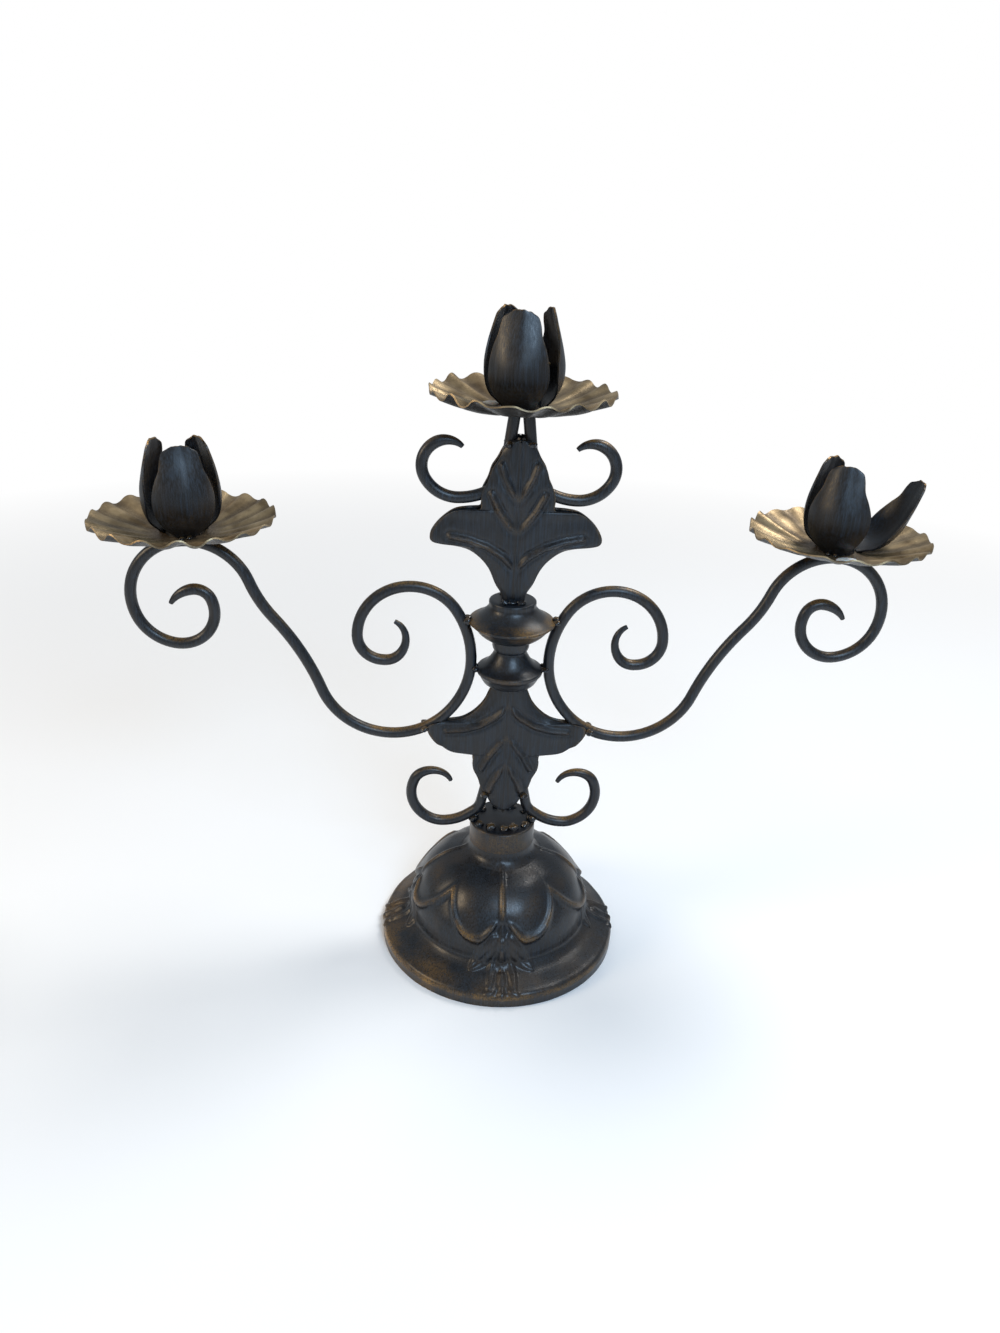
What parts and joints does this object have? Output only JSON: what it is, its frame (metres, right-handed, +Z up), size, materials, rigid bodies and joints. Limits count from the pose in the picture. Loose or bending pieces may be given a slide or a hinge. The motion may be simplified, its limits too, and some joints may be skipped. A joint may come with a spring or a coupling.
{
  "type": "candle holder",
  "caption": "Scrolled steel candelabra on a domed leaf-embossed base: level candle cups with open petals stand on fluted drip pans, on arms and over a central leaf stem.",
  "frame": {"origin": "centre of the base's underside", "axes": "+Z up, +X along the arms, -Y towards the front"},
  "size_m": [0.5676, 0.1852, 0.4816],
  "materials": {
    "black_steel": "satin black enamel, rubbed to bare bronze tone on edges",
    "bronzed_steel": "worn bronze and gold tone over black enamel",
    "weld_bead": "glossy black enamel over weld beads"
  },
  "bodies": {
    "root": {"base_dome": "black_steel", "collar_welds": "weld_bead", "knop_arm_welds": "weld_bead", "knop_waist": "black_steel", "leaf_lobe_welds": "weld_bead", "left_arm": "black_steel", "left_candle_cup": "black_steel", "left_drip_pan": "bronzed_steel", "left_front_petal": "black_steel", "left_inner_petal": "black_steel", "left_outer_petal": "black_steel", "left_petal_welds": "weld_bead", "lower_back_leaf": "black_steel", "lower_front_leaf": "black_steel", "lower_hook_welds": "weld_bead", "lower_knop_bowl": "black_steel", "lower_left_hook": "black_steel", "lower_right_hook": "black_steel", "lower_stem_welds": "weld_bead", "neck_collar": "black_steel", "pan_welds": "weld_bead", "right_arm": "black_steel", "right_back_petal": "black_steel", "right_candle_cup": "black_steel", "right_drip_pan": "bronzed_steel", "right_front_petal": "black_steel", "right_outer_petal": "black_steel", "right_petal_welds": "weld_bead", "top_back_petal": "black_steel", "top_candle_cup": "black_steel", "top_drip_pan": "bronzed_steel", "top_front_petal": "black_steel", "top_petal_welds": "weld_bead", "top_right_petal": "black_steel", "upper_back_leaf": "black_steel", "upper_front_leaf": "black_steel", "upper_hook_welds": "weld_bead", "upper_knop_bowl": "black_steel", "upper_knop_cap": "black_steel", "upper_left_hook": "black_steel", "upper_right_hook": "black_steel", "upper_stem_welds": "weld_bead"}
  },
  "joints": []
}
